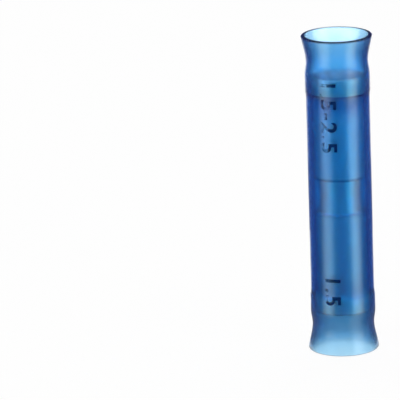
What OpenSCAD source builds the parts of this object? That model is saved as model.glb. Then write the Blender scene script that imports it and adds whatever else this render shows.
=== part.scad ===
// Nylon-insulated double-crimp butt splice connector, standing on its lower mouth.
// A tinned copper barrel joins two wires end to end. A thin metal grip sleeve covers each half
// of the barrel and opens into a bell round the wire's insulation. A translucent nylon tube,
// flared at both mouths, covers them all.
// All sizes are in millimetres. The axis is +Z and z = 0 is the rim of the lower mouth.

/* [Crimp barrel] */
// Bore that takes the bared conductor
conductor_bore_d = 2.5; // [2.0:0.1:3.2]
// Wall of the barrel
barrel_wall = 0.85; // [0.6:0.05:1.2]
// Length of the barrel
barrel_length = 17; // [13:0.5:24]
// Height of the ridge inside the bore that stops the wires
wire_stop_height = 0.45; // [0.3:0.05:0.7]
// Depth of the rolled groove that shows outside, round the ridge
stop_groove_depth = 0.1; // [0.05:0.05:0.3]
// Length of the ridge and of the groove
wire_stop_length = 2.8; // [2.0:0.1:3.6]
// Bevel at the mouths of the bore
entry_bevel = 0.3; // [0.1:0.05:0.5]

/* [Grip sleeves] */
// Sheet thickness of a grip sleeve
grip_wall = 0.35; // [0.25:0.05:0.5]
// Bore of the bell that takes the wire's insulation
insulation_bore_d = 4.6; // [4.4:0.05:5.2]
// Length over which the sleeve opens from the barrel to the bell
bell_length = 1.9; // [1.5:0.1:3.5]
// Straight length of the bell
bell_land = 1.6; // [0.8:0.1:3.0]
// Bare stretch of barrel between the two sleeves
centre_window = 3.4; // [2.0:0.1:6.0]
// Bevel on the cut edges of the sheet
sheet_bevel = 0.08; // [0.04:0.02:0.1]

/* [Insulating sleeve] */
// Nylon wall over the barrel
nylon_wall = 0.64; // [0.45:0.01:1.0]
// Nylon wall where it is stretched over the bell
swell_wall = 0.54; // [0.4:0.01:0.9]
// Nylon wall at the neck, between the bell and the mouth
neck_wall = 0.57; // [0.4:0.01:0.9]
// Nylon wall at the rim of the mouth
rim_wall = 0.38; // [0.34:0.02:0.6]
// Flat ring left on the rim between its rounded edges
rim_flat = 0.17; // [0.1:0.01:0.22]
// How far the mouth flares out past the neck, on the radius
flare_rise = 0.44; // [0.2:0.01:0.8]
// Length of the flare, from the rim to the neck
flare_length = 2.6; // [2.0:0.1:4.0]
// Length of the shoulder that keeps the bell from sliding out
shoulder_length = 1.4; // [0.8:0.1:2.0]

/* [Fit] */
// Gap on the radius between one piece and the next
fit_gap = 0.02; // [0.01:0.01:0.05]

/* [Hidden] */

// Radii, from the bore outwards
bore_r = conductor_bore_d / 2;
barrel_r = bore_r + barrel_wall;
grip_inner_r = barrel_r + fit_gap;
grip_outer_r = grip_inner_r + grip_wall;
bell_inner_r = insulation_bore_d / 2;
bell_outer_r = bell_inner_r + grip_wall;
tube_inner_r = grip_outer_r + fit_gap;
tube_outer_r = tube_inner_r + nylon_wall;
neck_outer_r = tube_inner_r + neck_wall;
swell_inner_r = bell_outer_r + fit_gap;
swell_outer_r = swell_inner_r + swell_wall;
mouth_outer_r = neck_outer_r + flare_rise;
mouth_inner_r = mouth_outer_r - rim_wall;
rim_round = (rim_wall - rim_flat) / 2;

// Heights, from the rim of the lower mouth to the middle
neck_z = flare_length;
bell_end_z = neck_z + shoulder_length;
bell_start_z = bell_end_z + bell_land;
barrel_end_z = bell_start_z + bell_length;
middle_z = barrel_end_z + barrel_length / 2;
grip_inner_end_z = middle_z - centre_window / 2;
overall_length = 2 * middle_z;

// Fineness: steps along a curved stretch of a profile, round an edge, and round the axis
curve_steps = 10;
round_steps = 5;
$fn = 96;

// A smooth step from 0 at t = 0 to 1 at t = 1, level at both ends.
function ease(t) = (1 - cos(180 * t)) / 2;

// The flare's curve: 1 at the rim, where it still slopes, and 0 at the neck, where it is level.
function flare(t) = (1 - t) * (1 - t) * (1 + t);

// The bell's curve: 1 at the land, where it is steepest, and 0 at the barrel's end, where it is level.
function bell(t) = pow(1 - t, 6);

// Profile points from height z0 to z1, with the radius eased from r0 to r1.
function eased_run(z0, r0, z1, r1) =
    [for (i = [0 : curve_steps]) let (t = i / curve_steps)
        [r0 + (r1 - r0) * ease(t), z0 + (z1 - z0) * t]];

// The flared stretch, from the rounded edge of the rim up to just below the neck.
function flared_run(rim_r, neck_r) =
    [for (i = [0 : curve_steps - 1]) let (t = i / curve_steps)
        [neck_r + (rim_r - neck_r) * flare(t), rim_round + (neck_z - rim_round) * t]];

// The bell's curved stretch, from the end of its land up to the end of the barrel.
function belled_run(land_r, grip_r) =
    [for (i = [0 : curve_steps]) let (t = i / curve_steps)
        [grip_r + (land_r - grip_r) * bell(t), bell_start_z + bell_length * t]];

// The rolled stretch about the middle: radius r at its ends, less the depth at its centre.
function rolled_run(r, depth) =
    [for (i = [-curve_steps : curve_steps]) let (t = i / curve_steps)
        [r - depth * ease(1 - abs(t)), middle_z + t * wire_stop_length / 2]];

// A quarter round on the rim. side is 1 for its outer edge and -1 for its inner edge.
function rim_edge(rim_r, side) =
    [for (i = [0 : round_steps - 1]) let (a = 90 * i / round_steps)
        [rim_r - side * rim_round * (1 - sin(a)), rim_round * (1 - cos(a))]];

// The points of a list from last to first.
function backwards(points) = [for (i = [len(points) - 1 : -1 : 0]) points[i]];

// A lower run and its mirror image about the middle, as one run from mouth to mouth.
function both_halves(points) =
    concat(points, [for (p = backwards(points)) [p[0], overall_length - p[1]]]);

// The outer wall of the lower half of the nylon tube, which swells a little over the bell.
function nylon_outer() = concat(
    rim_edge(mouth_outer_r, 1),
    flared_run(mouth_outer_r, neck_outer_r),
    eased_run(neck_z, neck_outer_r, bell_end_z, swell_outer_r),
    belled_run(swell_outer_r, tube_outer_r)
);

// The inner wall of the lower half of the nylon tube, which hugs the bell.
function nylon_inner() = concat(
    rim_edge(mouth_inner_r, -1),
    flared_run(mouth_inner_r, tube_inner_r),
    eased_run(neck_z, tube_inner_r, bell_end_z, swell_inner_r),
    belled_run(swell_inner_r, tube_inner_r)
);

// A tube turned about the axis from its outer and inner walls, both listed upwards.
module turned_tube(outer, inner) {
    rotate_extrude()
        polygon(concat(outer, backwards(inner)));
}

// The nylon tube, alike at both ends.
module insulating_sleeve() {
    color([0.11, 0.36, 0.72, 0.55])
        turned_tube(both_halves(nylon_outer()), both_halves(nylon_inner()));
}

// A grip sleeve as it sits on the lower half: bell below, straight sleeve on the barrel above.
module grip_sleeve() {
    outer = concat(
        [[bell_outer_r - sheet_bevel, bell_end_z], [bell_outer_r, bell_end_z + sheet_bevel]],
        belled_run(bell_outer_r, grip_outer_r),
        [[grip_outer_r, grip_inner_end_z - sheet_bevel], [grip_outer_r - sheet_bevel, grip_inner_end_z]]
    );
    inner = concat(
        [[bell_inner_r + sheet_bevel, bell_end_z], [bell_inner_r, bell_end_z + sheet_bevel]],
        belled_run(bell_inner_r, grip_inner_r),
        [[grip_inner_r, grip_inner_end_z]]
    );
    color([0.80, 0.80, 0.78])
        turned_tube(outer, inner);
}

module lower_grip_sleeve() {
    grip_sleeve();
}

// The same sleeve turned over onto the upper half.
module upper_grip_sleeve() {
    translate([0, 0, overall_length])
        mirror([0, 0, 1])
            grip_sleeve();
}

// The barrel: a tube with bevelled mouths and a groove rolled in at the middle to stop the wires.
module crimp_barrel() {
    high = overall_length - barrel_end_z;
    outer = concat(
        [[barrel_r, barrel_end_z]],
        rolled_run(barrel_r, stop_groove_depth),
        [[barrel_r, high]]
    );
    inner = concat(
        [[bore_r + entry_bevel, barrel_end_z], [bore_r, barrel_end_z + entry_bevel]],
        rolled_run(bore_r, wire_stop_height),
        [[bore_r, high - entry_bevel], [bore_r + entry_bevel, high]]
    );
    color([0.72, 0.73, 0.72])
        turned_tube(outer, inner);
}

insulating_sleeve();
upper_grip_sleeve();
lower_grip_sleeve();
crimp_barrel();
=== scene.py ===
"""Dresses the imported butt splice: a clear blue nylon tube over tinned metal, on a white table."""

import logging
import math
from abc import ABC, abstractmethod
from collections.abc import Mapping, Sequence
from dataclasses import dataclass
from enum import Enum
from typing import Any

import bpy
from mathutils import Matrix, Vector

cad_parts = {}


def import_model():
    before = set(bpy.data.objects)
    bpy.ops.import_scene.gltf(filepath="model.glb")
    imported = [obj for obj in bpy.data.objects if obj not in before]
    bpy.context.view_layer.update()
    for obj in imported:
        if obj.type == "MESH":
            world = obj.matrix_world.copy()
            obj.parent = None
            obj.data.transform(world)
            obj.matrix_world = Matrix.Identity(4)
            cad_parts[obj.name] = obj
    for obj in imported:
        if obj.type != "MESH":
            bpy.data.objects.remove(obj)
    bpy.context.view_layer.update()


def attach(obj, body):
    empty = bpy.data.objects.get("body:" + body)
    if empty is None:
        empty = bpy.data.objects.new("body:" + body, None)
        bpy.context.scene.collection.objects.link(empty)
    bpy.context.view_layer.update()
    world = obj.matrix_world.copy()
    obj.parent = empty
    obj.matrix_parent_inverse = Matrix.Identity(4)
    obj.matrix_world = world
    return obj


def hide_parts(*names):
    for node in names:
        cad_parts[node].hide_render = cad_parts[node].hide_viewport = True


LOG = logging.getLogger("butt_splice")

Point = tuple[float, float]
Colour = tuple[float, float, float]

# A millimetre in metres, and the distance in mm within which two points are one
MM = 0.001
MERGE_MM = 0.0005

# Tints of the cards
WHITE: Colour = (1.0, 1.0, 1.0)
BLACK: Colour = (0.0, 0.0, 0.0)
WARM: Colour = (1.0, 1.0, 0.64)
COOL: Colour = (0.50, 0.54, 1.0)

# How high the front cards and the reflectors lie, in mm, and the share of a reflector's width
# over which each side fades
FRONT_LIFT = 0.3
REFLECTOR_LIFT = 0.45
SOFT_SIDES = 0.4


@dataclass(frozen=True)
class Heights:
    """Heights in mm that the pieces share, from the lower rim up to the middle."""

    neck: float = 2.6
    bell_end: float = 4.0
    bell_start: float = 5.6
    barrel_end: float = 7.5
    grip_end: float = 14.3
    middle: float = 16.0

    @property
    def length(self) -> float:
        """The length of the whole splice."""
        return 2.0 * self.middle


HEIGHTS = Heights()


class Sock:
    """An output socket of a node tree. Arithmetic on it adds Math nodes to the tree."""

    def __init__(self, graph: "Graph", socket: bpy.types.NodeSocket) -> None:
        """Keeps the tree's builder and the socket."""
        self.graph = graph
        self.socket = socket

    def other(self, name: str) -> "Sock":
        """Another output of the same node, by name."""
        return Sock(self.graph, self.socket.node.outputs[name])

    def __add__(self, other: "Sock | float") -> "Sock":
        """self + other."""
        return self.graph.maths("ADD", self, other)

    def __radd__(self, other: float) -> "Sock":
        """other + self."""
        return self.graph.maths("ADD", other, self)

    def __sub__(self, other: "Sock | float") -> "Sock":
        """self - other."""
        return self.graph.maths("SUBTRACT", self, other)

    def __rsub__(self, other: float) -> "Sock":
        """other - self."""
        return self.graph.maths("SUBTRACT", other, self)

    def __mul__(self, other: "Sock | float") -> "Sock":
        """self * other."""
        return self.graph.maths("MULTIPLY", self, other)

    def __rmul__(self, other: float) -> "Sock":
        """other * self."""
        return self.graph.maths("MULTIPLY", other, self)

    def __truediv__(self, other: "Sock | float") -> "Sock":
        """self / other."""
        return self.graph.maths("DIVIDE", self, other)

    def __rtruediv__(self, other: float) -> "Sock":
        """other / self."""
        return self.graph.maths("DIVIDE", other, self)

    def __gt__(self, other: "Sock | float") -> "Sock":
        """1 where self is greater than other, else 0."""
        return self.graph.maths("GREATER_THAN", self, other)

    def __abs__(self) -> "Sock":
        """The value without its sign."""
        return self.graph.maths("ABSOLUTE", self)


@dataclass(frozen=True)
class Grain:
    """Cloudy noise: its scale and detail, and the share of that scale used along the axis."""

    scale: float
    detail: float
    along: float = 1.0


class Graph:
    """Builds a node tree, one call for each node."""

    def __init__(self, tree: bpy.types.NodeTree) -> None:
        """Keeps the tree that the nodes go into."""
        self.tree = tree

    def node(
        self,
        kind: str,
        settings: Mapping[str, Any] | None = None,
        inputs: Mapping[str | int, Any] | None = None,
        output: str | int = 0,
    ) -> Sock:
        """Adds a node.

        Args:
            kind: the node's type name.
            settings: its properties, which are set first.
            inputs: values or links of its sockets, by name or index; a list holds several links.
            output: the output to return.

        Returns:
            The chosen output, or the first input of a node that has no outputs.
        """
        made = self.tree.nodes.new(kind)
        for name, value in (settings or {}).items():
            setattr(made, name, value)
        for key, given in (inputs or {}).items():
            for value in given if isinstance(given, list) else [given]:
                if isinstance(value, Sock):
                    self.tree.links.new(value.socket, made.inputs[key])
                else:
                    made.inputs[key].default_value = value
        return Sock(self, made.outputs[output] if len(made.outputs) else made.inputs[0])

    def maths(self, operation: str, *operands: Sock | float) -> Sock:
        """A Math node of the given operation on these operands."""
        return self.node("ShaderNodeMath", {"operation": operation}, dict(enumerate(operands)))

    def vector_maths(self, operation: str, inputs: Mapping[str | int, Any]) -> Sock:
        """A Vector Math node of the given operation on these inputs."""
        return self.node("ShaderNodeVectorMath", {"operation": operation}, inputs)

    def mix_colour(self, share: Sock | float, first: Any, second: Any) -> Sock:
        """The colour that is first at share 0 and second at share 1."""
        first, second = (c if isinstance(c, Sock) else (*c, 1.0) for c in (first, second))
        return self.node("ShaderNodeMix", {"data_type": "RGBA"}, {0: share, 6: first, 7: second}, 2)

    def step(self, value: Sock, limits: Point) -> Sock:
        """0 below the first limit, 1 above the second and eased between them."""
        low, high = limits
        return self.node(
            "ShaderNodeMapRange",
            {"interpolation_type": "SMOOTHSTEP"},
            {"Value": value, "From Min": low, "From Max": high},
        )

    def step_mm(self, value: Sock, limits: Point) -> Sock:
        """The same step of a distance, with its limits in mm."""
        low, high = limits
        return self.step(value, (low * MM, high * MM))

    def place(self) -> Sock:
        """The place on a piece, in the frame's own axes."""
        return self.node("ShaderNodeTexCoord", output="Object")

    def part(self, vector: Sock, axis: str) -> Sock:
        """A vector's part along one axis. The same node gives the other parts."""
        return self.node("ShaderNodeSeparateXYZ", None, {0: vector}, axis)

    def radius(self, place: Sock) -> Sock:
        """The distance of a place from the Z axis."""
        x = self.part(place, "X")
        y = x.other("Y")
        return self.maths("SQRT", x * x + y * y)

    def noise(self, place: Sock, grain: Grain) -> Sock:
        """Cloudy noise from about 0 to 1 at a place."""
        if grain.along != 1.0:
            stretch = {"Vector": place, "Scale": (1.0, 1.0, grain.along)}
            place = self.node("ShaderNodeMapping", {"vector_type": "POINT"}, stretch)
        values = {"Vector": place, "Scale": grain.scale, "Detail": grain.detail}
        return self.node("ShaderNodeTexNoise", None, values)

    def bump(self, height: Sock, strength: float, depth_mm: float) -> Sock:
        """The normal of a surface with that relief."""
        values = {"Strength": strength, "Distance": depth_mm * MM, "Height": height}
        return self.node("ShaderNodeBump", None, values, "Normal")


class Finish(ABC):
    """A surface finish that can be made into a material of its name."""

    name: str

    @abstractmethod
    def shade(self, graph: Graph) -> Sock:
        """Adds the finish's nodes and returns the surface shader."""

    def volume(self, graph: Graph) -> Sock | None:
        """Adds the inside's nodes and returns the volume shader, if the finish has one."""
        return None

    def material(self) -> bpy.types.Material:
        """Makes the material.

        Returns:
            A new material with this finish's node tree.
        """
        made = bpy.data.materials.new(self.name)
        made.use_nodes = True
        made.node_tree.nodes.clear()
        graph = Graph(made.node_tree)
        ends = {"Surface": self.shade(graph)}
        inside = self.volume(graph)
        if inside is not None:
            ends["Volume"] = inside
        graph.node("ShaderNodeOutputMaterial", None, ends)
        return made


@dataclass(frozen=True)
class NylonFinish(Finish):
    """Clear blue nylon with a little haze.

    It is paler where the mouths are stretched, glossier on the swells and deep blue on the rims'
    outer edges. The fields that end in _z are distances in mm from the middle, along the axis.
    """

    name: str = "clear_blue_nylon"
    body_tint: Colour = (0.40, 0.90, 1.0)
    mouth_tint: Colour = WHITE
    mouth_z: Point = (10.8, 13.4)
    rim_tint: Colour = (0.20, 0.80, 1.0)
    rim_z: Point = (15.88, 15.95)
    rim_r: Point = (3.22, 3.32)
    depth_per_mm: float = 2.1
    depth_colour: Colour = (0.0, 0.676, 0.996)
    clearness: float = 1.0
    roughness: float = 0.25
    haze: float = 0.03
    cloud: Grain = Grain(900.0, 3.0, 0.35)
    ripple: Grain = Grain(380.0, 1.0, 0.5)
    ripple_strength: float = 0.1
    ripple_mm: float = 0.01
    gloss: float = 0.36
    gloss_roughness: float = 0.20
    swell_gloss: float = 0.35
    swell_rise_z: Point = (9.9, 10.5)
    swell_fall_z: Point = (11.6, 12.4)
    index: float = 1.53

    def shade(self, graph: Graph) -> Sock:
        """Adds the finish's nodes and returns the surface shader."""
        place = graph.place()
        from_middle = abs(graph.part(place, "Z") - HEIGHTS.middle * MM)
        at_mouth = graph.step_mm(from_middle, self.mouth_z)
        wall_tint = graph.mix_colour(at_mouth, self.body_tint, self.mouth_tint)
        at_rim = graph.step_mm(from_middle, self.rim_z) * graph.step_mm(graph.radius(place), self.rim_r)
        past_swell = graph.step_mm(from_middle, self.swell_fall_z)
        on_swell = graph.step_mm(from_middle, self.swell_rise_z) * (1.0 - past_swell)
        ripple = graph.noise(place, self.ripple)
        return graph.node(
            "ShaderNodeBsdfPrincipled",
            None,
            {
                "Base Color": graph.mix_colour(at_rim, wall_tint, self.rim_tint),
                "Roughness": self.roughness + self.haze * graph.noise(place, self.cloud),
                "IOR": self.index,
                "Transmission Weight": self.clearness,
                "Coat Weight": self.gloss + self.swell_gloss * on_swell,
                "Coat Roughness": self.gloss_roughness,
                "Normal": graph.bump(ripple, self.ripple_strength, self.ripple_mm),
            },
        )

    def volume(self, graph: Graph) -> Sock:
        """Adds the blue that deepens with the wall's thickness."""
        values = {"Color": (*self.depth_colour, 1.0), "Density": self.depth_per_mm / MM}
        return graph.node("ShaderNodeVolumeAbsorption", None, values)


@dataclass(frozen=True)
class TinFinish(Finish):
    """Tin plate on drawn copper: soft shine, faint lines along the draw and dull patches.

    On a grip sleeve it carries painted shade: a darker, rougher ring next to each bell on the side
    of the middle, strongest on the upper sleeve whose bell curve faces down, a darker bore inside
    the bell, and dark cut edges, most on those that face down. The fields that end in _z are
    distances in mm from the middle, along the axis. The upper half starts at upper_height, in mm
    from the lower rim.
    """

    name: str = "satin_tin"
    colour: Colour = (0.91, 0.92, 0.91)
    dull_colour: Colour = (0.81, 0.83, 0.83)
    roughness: float = 0.54
    patch_roughness: float = 0.16
    patches: Grain = Grain(520.0, 3.0)
    line_roughness: float = 0.1
    lines: Grain = Grain(5200.0, 2.0, 0.03)
    line_strength: float = 0.25
    line_mm: float = 0.01
    # Painted shade: a dark ring next to each bell and dark cut edges, strongest where they face down (the
    # lower sleeve's ring gets only a share), and a darker bore inside each bell.
    upper_height: Point = (15.84, 16.16)
    lower_shade_share: float = 0.30
    shade_ring_colour: Colour = (0.40, 0.46, 0.64)
    shade_ring_depth: float = 0.9
    shade_ring_roughness: float = 0.25
    shade_ring_rise_z: Point = (7.5, 9.7)
    shade_ring_fall_z: Point = (10.3, 10.45)
    edge_shade_colour: Colour = (0.18, 0.22, 0.34)
    edge_shade_depth: float = 0.7
    inner_edge_shade_z: Point = (1.74, 2.10)
    bell_edge_shade_z: Point = (11.80, 11.95)
    bore_shade_colour: Colour = (0.72, 0.70, 0.78)
    bore_r: Point = (2.40, 2.55)

    def shade(self, graph: Graph) -> Sock:
        """Adds the finish's nodes and returns the surface shader."""
        place = graph.place()
        height = graph.part(place, "Z")
        from_middle = abs(height - HEIGHTS.middle * MM)
        upper = graph.step_mm(height, self.upper_height)
        share = self.lower_shade_share + (1.0 - self.lower_shade_share) * upper
        # Painted shade: a darker, rougher ring next to each bell, full on the upper sleeve whose bell
        # curve faces down and weaker on the lower one.
        past_shade_ring = graph.step_mm(from_middle, self.shade_ring_fall_z)
        ring = self.shade_ring_depth * share * graph.step_mm(from_middle, self.shade_ring_rise_z) * (1.0 - past_shade_ring)
        # Painted shade: the bore inside each bell is darkened.
        in_shaded_bore = past_shade_ring * (1.0 - graph.step_mm(graph.radius(place), self.bore_r))
        # Painted shade: dark cut edges, full where they face down, weaker on the lower sleeve's up-facing
        # inner end and none on the upper bell's mouth.
        inner_edge_shade = share * (1.0 - graph.step_mm(from_middle, self.inner_edge_shade_z))
        bell_edge_shade = (1.0 - upper) * graph.step_mm(from_middle, self.bell_edge_shade_z)
        edge = self.edge_shade_depth * (inner_edge_shade + bell_edge_shade)
        patches = graph.noise(place, self.patches)
        lines = graph.noise(place, self.lines)
        wear = self.patch_roughness * (patches - 0.5) + self.line_roughness * (lines - 0.5)
        plate = graph.mix_colour(patches, self.colour, self.dull_colour)
        bore_shaded = graph.mix_colour(in_shaded_bore, plate, self.bore_shade_colour)
        ring_shaded = graph.mix_colour(ring, bore_shaded, self.shade_ring_colour)
        return graph.node(
            "ShaderNodeBsdfPrincipled",
            None,
            {
                "Base Color": graph.mix_colour(edge, ring_shaded, self.edge_shade_colour),
                "Metallic": 1.0,
                "Roughness": self.roughness + wear + self.shade_ring_roughness * ring,
                "Normal": graph.bump(lines, self.line_strength, self.line_mm),
            },
        )


@dataclass(frozen=True)
class InkFinish(Finish):
    """Dark blue marking ink, thin and slightly broken, and thinned towards the left as painted highlight.
    """

    name: str = "marking_ink"
    colour: Colour = (0.003, 0.026, 0.130)
    thin_colour: Colour = (0.012, 0.075, 0.260)
    roughness: float = 0.50
    patch_roughness: float = 0.2
    patches: Grain = Grain(1400.0, 3.0)
    shine: float = 0.02
    # Painted highlight: the ink fades towards the left between these two places, in mm.
    highlight_fade_x: Point = (-1.9, 0.1)
    highlight_fade_share: float = 0.5
    cover: Point = (0.44, 0.84)

    def shade(self, graph: Graph) -> Sock:
        """Adds the finish's nodes and returns the surface shader."""
        place = graph.place()
        patches = graph.noise(place, self.patches)
        # Painted highlight: the ink thins towards the left, where the left light's highlight lies over it.
        past_highlight = graph.step_mm(graph.part(place, "X"), self.highlight_fade_x)
        return graph.node(
            "ShaderNodeBsdfPrincipled",
            None,
            {
                "Base Color": graph.mix_colour(patches, self.colour, self.thin_colour),
                "Roughness": self.roughness + self.patch_roughness * (patches - 0.5),
                "Specular IOR Level": self.shine,
                "Alpha": graph.step(patches + self.highlight_fade_share * past_highlight, self.cover),
            },
        )


@dataclass(frozen=True)
class TableFinish(Finish):
    """White table top, white to the eye and in nylon and metal, yet shaded by what stands on it."""

    name: str = "white_table"
    colour: Colour = (0.86, 0.86, 0.86)
    own_white: float = 0.88
    white_level: float = 1.08

    def shade(self, graph: Graph) -> Sock:
        """Adds the finish's nodes and returns the surface shader."""
        path = graph.node("ShaderNodeLightPath", output="Is Camera Ray")
        seen = graph.maths("MAXIMUM", path, path.other("Is Glossy Ray"))
        seen = graph.maths("MAXIMUM", seen, path.other("Is Transmission Ray"))
        paper = graph.node("ShaderNodeBsdfDiffuse", None, {"Color": (*self.colour, 1.0)})
        glow = graph.node("ShaderNodeEmission", None, {"Strength": self.white_level})
        return graph.node("ShaderNodeMixShader", None, {0: seen * self.own_white, 1: paper, 2: glow})


@dataclass(frozen=True)
class CardFinish(Finish):
    """Plain card of one brightness, which may fade towards its sides."""

    name: str
    level: float
    tint: Colour = WHITE
    soft_share: float = 0.0

    def shade(self, graph: Graph) -> Sock:
        """Adds the finish's nodes and returns the surface shader."""
        colour: Sock | tuple[float, ...] = (*self.tint, 1.0)
        if self.soft_share:
            across = graph.part(graph.node("ShaderNodeTexCoord", output="UV"), "X")
            from_side = 0.5 - abs(across - 0.5)
            colour = graph.mix_colour(graph.step(from_side, (0.0, self.soft_share)), BLACK, self.tint)
        return graph.node("ShaderNodeEmission", None, {"Color": colour, "Strength": self.level})


class Curve(Enum):
    """The ways in which a profile goes from one radius to the next."""

    EASED = "level at both ends"
    FLARED = "sloping at its start and level at its end"
    BELLED = "steepest at its start and level at its end"

    def share(self, t: float) -> float:
        """The share of the way from the first radius to the second at t, from 0 to 1."""
        if self is Curve.EASED:
            return (1.0 - math.cos(math.pi * t)) / 2.0
        if self is Curve.FLARED:
            return 1.0 - (1.0 - t) ** 2 * (1.0 + t)
        return 1.0 - (1.0 - t) ** 6


def run(curve: Curve, start: Point, end: Point, steps: int) -> list[Point]:
    """Profile points along a curve.

    Args:
        curve: how the radius changes.
        start: first (radius, height).
        end: last (radius, height).
        steps: number of stretches between points.

    Returns:
        The points, with both ends.
    """
    (r0, z0), (r1, z1) = start, end
    shares = [i / steps for i in range(steps + 1)]
    return [(r0 + (r1 - r0) * curve.share(t), z0 + (z1 - z0) * t) for t in shares]


def mirrored(points: Sequence[Point], length: float) -> list[Point]:
    """The same points from the other end of a part of that length, from last to first."""
    return [(r, length - z) for r, z in reversed(points)]


def link(obj: bpy.types.Object) -> bpy.types.Object:
    """Puts an object into the scene and returns it."""
    bpy.context.scene.collection.objects.link(obj)
    return obj


def evaluated_mesh(obj: bpy.types.Object) -> bpy.types.Mesh:
    """A plain mesh of an object as it is with its modifiers or its text."""
    graph = bpy.context.evaluated_depsgraph_get()
    return bpy.data.meshes.new_from_object(obj.evaluated_get(graph), depsgraph=graph)


class NodeShape:
    """A Geometry Nodes tree with named inputs, run once to give a plain mesh."""

    def __init__(self, name: str, inputs: Mapping[str, str]) -> None:
        """Makes the tree.

        Args:
            name: the tree's name.
            inputs: socket type of each named input.
        """
        self.tree = bpy.data.node_groups.new(name, "GeometryNodeTree")
        self.graph = Graph(self.tree)
        self.keys: dict[str, str] = {}
        face = self.tree.interface
        face.new_socket("Geometry", in_out="INPUT", socket_type="NodeSocketGeometry")
        face.new_socket("Geometry", in_out="OUTPUT", socket_type="NodeSocketGeometry")
        for label, kind in inputs.items():
            self.keys[label] = face.new_socket(label, in_out="INPUT", socket_type=kind).identifier

    def given(self, name: str) -> Sock:
        """A named input of the tree."""
        return self.graph.node("NodeGroupInput", output=name)

    def end(self, geometry: Sock) -> None:
        """Realizes the instances, sets the material and ends the tree."""
        real = self.graph.node("GeometryNodeRealizeInstances", None, {0: geometry})
        values = {"Geometry": real, "Material": self.given("Finish")}
        dressed = self.graph.node("GeometryNodeSetMaterial", None, values)
        self.graph.node("NodeGroupOutput", None, {0: dressed})

    def make(self, name: str, start: bpy.types.Mesh, values: Mapping[str, Any]) -> bpy.types.Object:
        """Runs the tree.

        Args:
            name: the new object's name.
            start: the mesh that the tree starts from.
            values: value of each named input.

        Returns:
            An object at the origin whose mesh is the result.
        """
        holder = link(bpy.data.objects.new(name + "_nodes", start))
        modifier = holder.modifiers.new("shape", "NODES")
        modifier.node_group = self.tree
        for label, value in values.items():
            modifier[self.keys[label]] = value
        holder.update_tag()
        mesh = evaluated_mesh(holder)
        mesh.name = name
        bpy.data.objects.remove(holder)
        bpy.data.meshes.remove(start)
        return link(bpy.data.objects.new(name, mesh))


class Lathe(NodeShape):
    """Turns a closed profile about the Z axis."""

    def __init__(self) -> None:
        """Builds the tree: a grid of profile points by turns, bent round the axis and sewn up."""
        super().__init__(
            "turned_body",
            {
                "Segments": "NodeSocketInt",
                "Sharp angle": "NodeSocketFloat",
                "Sewing distance": "NodeSocketFloat",
                "Finish": "NodeSocketMaterial",
            },
        )
        graph = self.graph
        bent = self._bent(self.given("Geometry"), self.given("Segments"))
        sewing = {"Geometry": bent, "Distance": self.given("Sewing distance")}
        sewn = graph.node("GeometryNodeMergeByDistance", None, sewing)
        shading = {0: sewn, "Shade Smooth": True}
        smooth = graph.node("GeometryNodeSetShadeSmooth", {"domain": "FACE"}, shading)
        edge = graph.node("GeometryNodeInputMeshEdgeAngle", output="Unsigned Angle")
        crisp = graph.node(
            "GeometryNodeSetShadeSmooth",
            {"domain": "EDGE"},
            {0: smooth, "Selection": edge > self.given("Sharp angle"), "Shade Smooth": False},
        )
        self.end(crisp)

    def _bent(self, profile: Sock, turns: Sock) -> Sock:
        """A grid with a column for each profile point, bent into a ring about the axis."""
        graph = self.graph
        count = graph.node("GeometryNodeAttributeDomainSize", None, {0: profile}, "Point Count")
        rows = turns + 1.0
        grid = graph.node("GeometryNodeMeshGrid", None, {"Vertices X": count, "Vertices Y": rows}, "Mesh")
        index = graph.node("GeometryNodeInputIndex")
        column = graph.maths("FLOOR", index / rows)
        row = index - column * rows
        point = graph.node(
            "GeometryNodeSampleIndex",
            {"data_type": "FLOAT_VECTOR", "domain": "POINT"},
            {"Geometry": profile, "Value": graph.node("GeometryNodeInputPosition"), "Index": column},
        )
        radius = graph.part(point, "X")
        angle = row / turns * -math.tau
        place = graph.node(
            "ShaderNodeCombineXYZ",
            None,
            {
                "X": radius * graph.maths("COSINE", angle),
                "Y": radius * graph.maths("SINE", angle),
                "Z": radius.other("Z"),
            },
        )
        return graph.node("GeometryNodeSetPosition", None, {"Geometry": grid, "Position": place})

    def turn(
        self,
        name: str,
        outer: Sequence[Point],
        inner: Sequence[Point],
        finish: bpy.types.Material,
        segments: int,
        sharp_deg: float = 32.0,
    ) -> bpy.types.Object:
        """Turns a tube from its two walls.

        Args:
            name: the new object's name.
            outer: (radius, height) of the outer wall, upwards, in mm.
            inner: the same of the inner wall.
            finish: the tube's material.
            segments: number of faces round the axis.
            sharp_deg: edges bent more than this stay crisp.

        Returns:
            The tube's object.
        """
        loop = [*outer, *reversed(inner), outer[0]]
        profile = bpy.data.meshes.new(name + "_profile")
        profile.from_pydata([(r * MM, 0.0, z * MM) for r, z in loop], [], [])
        values = {
            "Segments": segments,
            "Sharp angle": math.radians(sharp_deg),
            "Sewing distance": MERGE_MM * MM,
            "Finish": finish,
        }
        return self.make(name, profile, values)


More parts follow.
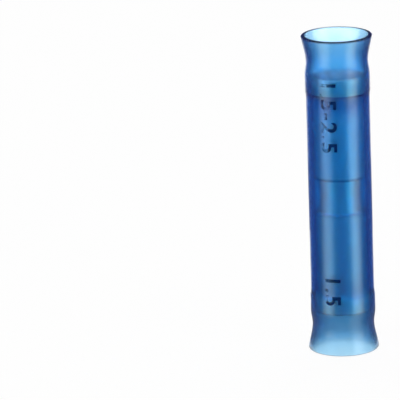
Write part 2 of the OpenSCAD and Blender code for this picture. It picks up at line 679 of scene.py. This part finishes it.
class Wrap(NodeShape):
    """Lays a line of characters on the side of a turned body, reading downwards."""

    def __init__(self) -> None:
        """Builds the tree: flat characters, made fine, thickened and laid on the nearest surface."""
        super().__init__(
            "wrapped_print",
            {
                "Fineness": "NodeSocketInt",
                "Start height": "NodeSocketFloat",
                "Base angle": "NodeSocketFloat",
                "Wrap radius": "NodeSocketFloat",
                "Sunk": "NodeSocketFloat",
                "Film": "NodeSocketFloat",
                "Carrier": "NodeSocketObject",
                "Finish": "NodeSocketMaterial",
            },
        )
        graph = self.graph
        flat = {"Mesh": self.given("Geometry"), "Level": self.given("Fineness")}
        fine = graph.node("GeometryNodeSubdivideMesh", None, flat)
        thick = {"Mesh": fine, "Offset Scale": 1.0, "Individual": False}
        raised = graph.node("GeometryNodeExtrudeMesh", {"mode": "FACES"}, thick)
        under = graph.node("GeometryNodeFlipFaces", None, {0: fine})
        both = graph.node("GeometryNodeJoinGeometry", None, {0: [raised, under]})
        plates = graph.node("GeometryNodeMergeByDistance", None, {"Geometry": both, "Distance": MERGE_MM})
        self.end(self._laid(plates))

    def _laid(self, plates: Sock) -> Sock:
        """Bends flat plates, in mm, round the carrier and lays them on it."""
        graph = self.graph
        along = graph.part(graph.node("GeometryNodeInputPosition"), "X")
        radius = self.given("Wrap radius")
        angle = self.given("Base angle") + along.other("Y") / radius
        ring = graph.node(
            "ShaderNodeCombineXYZ",
            None,
            {
                "X": graph.maths("SINE", angle) * radius * MM,
                "Y": graph.maths("COSINE", angle) * radius * -MM,
                "Z": (self.given("Start height") - along) * MM,
            },
        )
        carrier = graph.node("GeometryNodeObjectInfo", None, {"Object": self.given("Carrier")}, "Geometry")
        aim = {"Target": carrier, "Sample Position": ring}
        near = graph.node("GeometryNodeProximity", {"target_element": "FACES"}, aim)
        normal = graph.vector_maths("NORMALIZE", {0: graph.vector_maths("SUBTRACT", {0: ring, 1: near})})
        lift = along.other("Z") * self.given("Film") - self.given("Sunk")
        offset = graph.vector_maths("SCALE", {0: normal, "Scale": lift * MM})
        place = graph.vector_maths("ADD", {0: near, 1: offset})
        laid = graph.node("GeometryNodeSetPosition", None, {"Geometry": plates, "Position": place})
        shading = {0: laid, "Shade Smooth": False}
        return graph.node("GeometryNodeSetShadeSmooth", {"domain": "FACE"}, shading)


class End(Enum):
    """The two ends of the splice."""

    LOWER = "lower"
    UPPER = "upper"


@dataclass
class InsulatingSleeve:
    """The nylon tube with its flared mouths, swells and necks."""

    heights: Heights = HEIGHTS
    mouth_outer_r: float = 3.50
    mouth_inner_r: float = 3.12
    neck_outer_r: float = 3.06
    swell_outer_r: float = 3.21
    swell_inner_r: float = 2.67
    tube_outer_r: float = 3.13
    tube_inner_r: float = 2.49
    outer_round: Point = (0.24, 0.13)
    inner_round: Point = (0.05, 0.05)
    segments: int = 192
    curve_steps: int = 22
    round_steps: int = 8
    middle_steps: int = 12
    finish: NylonFinish = NylonFinish()

    def _rim(self, rim_r: float, side: float, rounding: Point) -> list[Point]:
        """A quarter round on the rim, of that (width, height).

        Args:
            rim_r: the wall's radius at the rim.
            side: 1 for the outer wall and -1 for the inner wall.
            rounding: width and height of the quarter round.

        Returns:
            The points from the rim's flat up to just below the wall.
        """
        width, height = rounding
        angles = [math.pi / 2 * i / self.round_steps for i in range(self.round_steps)]
        return [(rim_r - side * width * (1 - math.sin(a)), height * (1 - math.cos(a))) for a in angles]

    def _half(self, side: float) -> list[Point]:
        """The lower half of a wall: side is 1 for the outer wall and -1 for the inner wall."""
        outside = side > 0
        mouth = self.mouth_outer_r if outside else self.mouth_inner_r
        neck = self.neck_outer_r if outside else self.tube_inner_r
        swell = self.swell_outer_r if outside else self.swell_inner_r
        tube = self.tube_outer_r if outside else self.tube_inner_r
        rounding = self.outer_round if outside else self.inner_round
        at, steps = self.heights, self.curve_steps
        return [
            *self._rim(mouth, side, rounding),
            *run(Curve.FLARED, (mouth, rounding[1]), (neck, at.neck), steps)[:-1],
            *run(Curve.EASED, (neck, at.neck), (swell, at.bell_end), steps),
            *run(Curve.BELLED, (swell, at.bell_start), (tube, at.barrel_end), steps),
        ]

    def _wall(self, side: float) -> list[Point]:
        """A wall from mouth to mouth, with a few points along its straight middle."""
        half = self._half(side)
        radius, start = half[-1]
        span = self.heights.length - 2 * start
        steps = self.middle_steps
        middle = [(radius, start + span * i / steps) for i in range(1, steps)]
        return [*half, *middle, *mirrored(half, self.heights.length)]

    def build(self, lathe: Lathe) -> bpy.types.Object:
        """Makes the tube in place of its CAD solid.

        Args:
            lathe: the tree that turns profiles.

        Returns:
            The tube's object.
        """
        nylon = self.finish.material()
        tube = lathe.turn("nylon_tube", self._wall(1.0), self._wall(-1.0), nylon, self.segments)
        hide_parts("insulating_sleeve")
        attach(tube, "root")
        return tube


@dataclass
class GripSleeve:
    """A thin tinned sleeve over half of the barrel, with a bell for the wire's insulation."""

    end: End
    finish: bpy.types.Material
    heights: Heights = HEIGHTS
    wall: float = 0.35
    bell_outer_r: float = 2.65
    grip_outer_r: float = 2.47
    bevel: float = 0.08
    segments: int = 144
    curve_steps: int = 20

    def _wall(self, inset: float) -> list[Point]:
        """A wall of the lower sleeve.

        Args:
            inset: 0 for the outer wall and the sheet's thickness for the inner one.

        Returns:
            The wall's points, upwards.
        """
        at = self.heights
        side = -1.0 if inset else 1.0
        bell, grip = self.bell_outer_r - inset, self.grip_outer_r - inset
        far = [(grip, at.grip_end)]
        if not inset:
            far = [(grip, at.grip_end - self.bevel), (grip - self.bevel, at.grip_end)]
        return [
            (bell - side * self.bevel, at.bell_end),
            (bell, at.bell_end + self.bevel),
            *run(Curve.BELLED, (bell, at.bell_start), (grip, at.barrel_end), self.curve_steps),
            *far,
        ]

    def build(self, lathe: Lathe) -> bpy.types.Object:
        """Makes the sleeve in place of its CAD solid.

        Args:
            lathe: the tree that turns profiles.

        Returns:
            The sleeve's object.
        """
        outer, inner = self._wall(0.0), self._wall(self.wall)
        if self.end is End.UPPER:
            length = self.heights.length
            outer, inner = mirrored(outer, length), mirrored(inner, length)
        sleeve = lathe.turn(f"{self.end.value}_grip", outer, inner, self.finish, self.segments)
        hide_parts(f"{self.end.value}_grip_sleeve")
        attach(sleeve, "root")
        return sleeve


@dataclass
class CrimpBarrel:
    """The tinned barrel that takes both wires, with the rolled groove that stops them."""

    heights: Heights = HEIGHTS
    outer_r: float = 2.1
    bore_r: float = 1.25
    stop_height: float = 0.45
    groove_depth: float = 0.1
    stop_length: float = 2.8
    entry_bevel: float = 0.3
    segments: int = 128
    curve_steps: int = 28
    finish: TinFinish = TinFinish(
        name="bright_tin",
        colour=(0.90, 0.91, 0.90),
        dull_colour=(0.80, 0.82, 0.82),
        roughness=0.48,
        patch_roughness=0.14,
        shade_ring_depth=0.0,
        edge_shade_depth=0.0,
    )

    def _groove(self, radius: float, depth: float) -> list[Point]:
        """The rolled groove of that depth on a wall of that radius."""
        middle, half = self.heights.middle, self.stop_length / 2
        low = run(Curve.EASED, (radius, middle - half), (radius - depth, middle), self.curve_steps)
        return [*low[:-1], *mirrored(low, 2 * middle)]

    def build(self, lathe: Lathe) -> bpy.types.Object:
        """Makes the barrel in place of its CAD solid.

        Args:
            lathe: the tree that turns profiles.

        Returns:
            The barrel's object.
        """
        low = self.heights.barrel_end
        high = self.heights.length - low
        wide = self.bore_r + self.entry_bevel
        outer = [
            (self.outer_r, low),
            *self._groove(self.outer_r, self.groove_depth),
            (self.outer_r, high),
        ]
        inner = [
            (wide, low),
            (self.bore_r, low + self.entry_bevel),
            *self._groove(self.bore_r, self.stop_height),
            (self.bore_r, high - self.entry_bevel),
            (wide, high),
        ]
        barrel = lathe.turn("barrel", outer, inner, self.finish.material(), self.segments)
        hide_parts("crimp_barrel")
        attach(barrel, "root")
        return barrel


@dataclass
class SizePrint:
    """The wire range printed along the tube, with its lower end repeated below. Sizes are in mm."""

    carrier: bpy.types.Object
    lines: tuple[tuple[str, float], ...] = (("1.5-2.5", 28.2), ("1.5", 8.3))
    character_size: float = 2.40
    spacing: float = 1.12
    boldness: float = 0.05
    fineness: int = 3
    base_angle_deg: float = -34.0
    wrap_radius: float = 3.4
    sunk: float = 0.004
    film: float = 0.016
    finish: InkFinish = InkFinish()

    def _flat(self, text: str) -> bpy.types.Mesh:
        """The characters of a line as flat faces."""
        outline = bpy.data.curves.new("print_outline", "FONT")
        outline.body = text
        outline.size = self.character_size
        outline.space_character = self.spacing
        outline.offset = self.boldness
        holder = link(bpy.data.objects.new("print_outline", outline))
        flat = evaluated_mesh(holder)
        bpy.data.objects.remove(holder)
        bpy.data.curves.remove(outline)
        return flat

    def build(self, wrap: Wrap) -> list[bpy.types.Object]:
        """Prints every line.

        Args:
            wrap: the tree that lays characters on a turned body.

        Returns:
            One object for each line.
        """
        ink = self.finish.material()
        made = []
        for number, (text, height) in enumerate(self.lines, start=1):
            values = {
                "Fineness": self.fineness,
                "Start height": height,
                "Base angle": math.radians(self.base_angle_deg),
                "Wrap radius": self.wrap_radius,
                "Sunk": self.sunk,
                "Film": self.film,
                "Carrier": self.carrier,
                "Finish": ink,
            }
            line = wrap.make(f"size_print_{number}", self._flat(text), values)
            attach(line, "root")
            made.append(line)
        return made


def toward(azimuth_deg: float, elevation_deg: float = 0.0) -> Vector:
    """The direction at an azimuth, counted from the front to the left, and at an elevation."""
    turn, rise = math.radians(azimuth_deg), math.radians(elevation_deg)
    return Vector((-math.sin(turn) * math.cos(rise), -math.cos(turn) * math.cos(rise), math.sin(rise)))


@dataclass(frozen=True)
class Viewpoint:
    """The camera: a long lens a little above the splice, which stands right of the picture's middle."""

    lens_mm: float = 364.49
    sensor_mm: float = 36.0
    distance_mm: float = 400.0
    near_clip_mm: float = 10.0
    elevation_deg: float = 15.785
    roll_deg: float = -2.003
    left_mm: float = 13.865
    down_mm: float = 0.322

    def build(self) -> bpy.types.Object:
        """Makes the camera and gives it to the scene.

        Returns:
            The camera's object.
        """
        tilt = math.radians(self.elevation_deg)
        ahead = Vector((0.0, math.cos(tilt), -math.sin(tilt)))
        right = Vector((1.0, 0.0, 0.0))
        up = right.cross(ahead)
        aim = Vector((0.0, 0.0, HEIGHTS.middle)) - self.left_mm * right - self.down_mm * up
        data = bpy.data.cameras.new("camera")
        data.lens = self.lens_mm
        data.sensor_width = self.sensor_mm
        data.clip_start = self.near_clip_mm * MM
        camera = link(bpy.data.objects.new("camera", data))
        roll = Matrix.Rotation(math.radians(self.roll_deg), 3, "Z")
        turn = Matrix((right, up, -ahead)).transposed() @ roll
        camera.matrix_world = Matrix.Translation((aim - self.distance_mm * ahead) * MM) @ turn.to_4x4()
        bpy.context.scene.camera = camera
        return camera


@dataclass(frozen=True)
class Softbox:
    """A square or oblong soft light, aimed at the splice. Distance and size are in metres."""

    name: str
    azimuth_deg: float
    elevation_deg: float
    distance: float
    size: Point
    watts: float

    def build(self) -> bpy.types.Object:
        """Makes the light.

        Returns:
            The light's object.
        """
        data = bpy.data.lights.new(self.name, "AREA")
        data.shape = "RECTANGLE"
        data.size, data.size_y = self.size
        data.energy = self.watts
        light = link(bpy.data.objects.new(self.name, data))
        away = toward(self.azimuth_deg, self.elevation_deg)
        light.location = away * self.distance
        light.rotation_mode = "QUATERNION"
        light.rotation_quaternion = away.to_track_quat("Z", "Y")
        return light


def stage_mesh(
    name: str,
    points: Sequence[Sequence[float]],
    faces: Sequence[Sequence[int]],
    finish: Finish,
) -> bpy.types.Object:
    """Makes an object of the stage that is seen in the splice and isn't sampled as a lamp.

    Args:
        name: the new object's name.
        points: its points, in metres.
        faces: the points of each face.
        finish: its finish.

    Returns:
        The new object.
    """
    mesh = bpy.data.meshes.new(name)
    mesh.from_pydata(points, [], faces)
    paint = finish.material()
    paint.cycles.emission_sampling = "NONE"
    mesh.materials.append(paint)
    return link(bpy.data.objects.new(name, mesh))


@dataclass(frozen=True)
class Card:
    """A sector of card on the table, flat or rising outwards: a dark flag or a light reflector."""

    finish: CardFinish
    azimuths_deg: Point
    reach_mm: Point
    lift_mm: float = 0.15
    rise_mm: float = 0.0
    steps: int = 48

    def build(self) -> bpy.types.Object:
        """Makes the card, unseen by the camera and casting no shadow.

        Returns:
            The card's object.
        """
        (first, last), (near, far) = self.azimuths_deg, self.reach_mm
        points, faces = [], []
        for i in range(self.steps + 1):
            ray = toward(first + (last - first) * i / self.steps)
            for reach, rise in ((near, 0.0), (far, self.rise_mm)):
                points.append((ray.x * reach * MM, ray.y * reach * MM, (self.lift_mm + rise) * MM))
            if i:
                faces.append((2 * i - 2, 2 * i - 1, 2 * i + 1, 2 * i))
        card = stage_mesh(self.finish.name, points, faces, self.finish)
        across = card.data.uv_layers.new(name="across")
        for corner in card.data.loops:
            column, row = divmod(corner.vertex_index, 2)
            across.data[corner.index].uv = (column / self.steps, row)
        card.visible_camera = False
        card.visible_shadow = False
        card.visible_diffuse = False
        return card


def reflector(
    name: str,
    level: float,
    azimuths_deg: Point,
    reach_mm: Point,
    tint: Colour = WARM,
) -> Card:
    """A light card on the table that fades towards its sides.

    Args:
        name: the card's name.
        level: its brightness.
        azimuths_deg: where the sector starts and ends.
        reach_mm: distances of its near and far edges from the axis.
        tint: its colour.

    Returns:
        The card.
    """
    return Card(CardFinish(name, level, tint, SOFT_SIDES), azimuths_deg, reach_mm, REFLECTOR_LIFT)


@dataclass
class Studio:
    """The white table, its soft lights and its cards."""

    table_half: float = 1.5
    ambient: float = 0.07
    lights: tuple[Softbox, ...] = (
        Softbox("left_softbox", 52.0, 30.0, 0.60, (0.36, 0.24), 0.6),
        Softbox("right_softbox", -50.0, 14.0, 0.60, (0.36, 0.24), 0.65),
        Softbox("top_softbox", 180.0, 72.0, 0.70, (0.50, 0.50), 1.3),
    )
    cards: tuple[Card, ...] = (
        Card(CardFinish("near_flag", 0.20), (-150.0, 150.0), (5.0, 15.0)),
        Card(CardFinish("back_flag", 0.30), (150.0, 210.0), (5.0, 15.0)),
        Card(CardFinish("back_middle_flag", 0.35), (150.0, 210.0), (42.0, 72.0)),
        Card(CardFinish("back_reflector", 1.4), (150.0, 210.0), (114.0, 240.0)),
        Card(CardFinish("side_flag", 0.24, COOL), (-150.0, 150.0), (15.0, 1400.0)),
        Card(CardFinish("front_near_flag", 0.50, COOL), (-22.0, 22.0), (15.0, 50.0), FRONT_LIFT),
        Card(CardFinish("front_flag", 0.11, COOL), (-22.0, 22.0), (50.0, 1400.0), FRONT_LIFT),
        Card(CardFinish("front_light", 6.0), (-100.0, 100.0), (58.0, 62.0), lift_mm=41.5, rise_mm=22.0),
        Card(CardFinish("left_wall", 0.4), (36.0, 120.0), (620.0, 640.0), lift_mm=30.0, rise_mm=110.0),
        Card(CardFinish("right_wall", 0.5), (-36.0, -120.0), (620.0, 640.0), lift_mm=30.0, rise_mm=110.0),
        reflector("left_near_reflector", 2.1, (20.0, 82.0), (15.0, 60.0)),
        reflector("left_reflector", 1.6, (22.0, 82.0), (60.0, 84.0)),
        reflector("left_far_reflector", 2.8, (22.0, 82.0), (95.0, 165.0), WHITE),
        reflector("right_near_reflector", 0.9, (-4.0, -70.0), (5.0, 15.0)),
        reflector("right_reflector", 2.5, (-22.0, -80.0), (15.0, 82.0)),
        reflector("right_far_reflector", 3.8, (-24.0, -82.0), (95.0, 180.0)),
        reflector("right_outer_reflector", 0.9, (-10.0, -76.0), (180.0, 420.0), WHITE),
    )
    table: TableFinish = TableFinish()

    def _world(self) -> None:
        """Sets a dim even light all round, which the camera sees as white."""
        world = bpy.data.worlds.new("studio")
        world.use_nodes = True
        world.node_tree.nodes.clear()
        graph = Graph(world.node_tree)
        seen = graph.node("ShaderNodeLightPath", output="Is Camera Ray")
        level = self.ambient + (1.0 - self.ambient) * seen
        sky = graph.node("ShaderNodeBackground", None, {"Strength": level})
        graph.node("ShaderNodeOutputWorld", None, {"Surface": sky})
        bpy.context.scene.world = world

    def _table(self) -> bpy.types.Object:
        """The table top."""
        half = self.table_half
        points = [(-half, -half, 0.0), (half, -half, 0.0), (half, half, 0.0), (-half, half, 0.0)]
        top = stage_mesh("table", points, [(0, 1, 2, 3)], self.table)
        return top

    def build(self) -> None:
        """Makes the table, the lights and the cards."""
        self._world()
        self._table()
        for item in (*self.lights, *self.cards):
            item.build()


def report(piece: bpy.types.Object) -> None:
    """Logs a piece's name and how fine its mesh is."""
    LOG.info("%s: %d vertices, %d faces", piece.name, len(piece.data.vertices), len(piece.data.polygons))


def main() -> None:
    """Loads the frame, builds every piece in order and sets the stage."""
    logging.basicConfig(level=logging.INFO, format="%(message)s")
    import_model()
    bpy.context.scene.view_settings.view_transform = "Standard"
    Viewpoint().build()
    lathe = Lathe()
    tube = InsulatingSleeve().build(lathe)
    report(tube)
    satin = TinFinish().material()
    for end in End:
        report(GripSleeve(end, satin).build(lathe))
    report(CrimpBarrel().build(lathe))
    for line in SizePrint(tube).build(Wrap()):
        report(line)
    Studio().build()


if __name__ == "__main__":
    main()
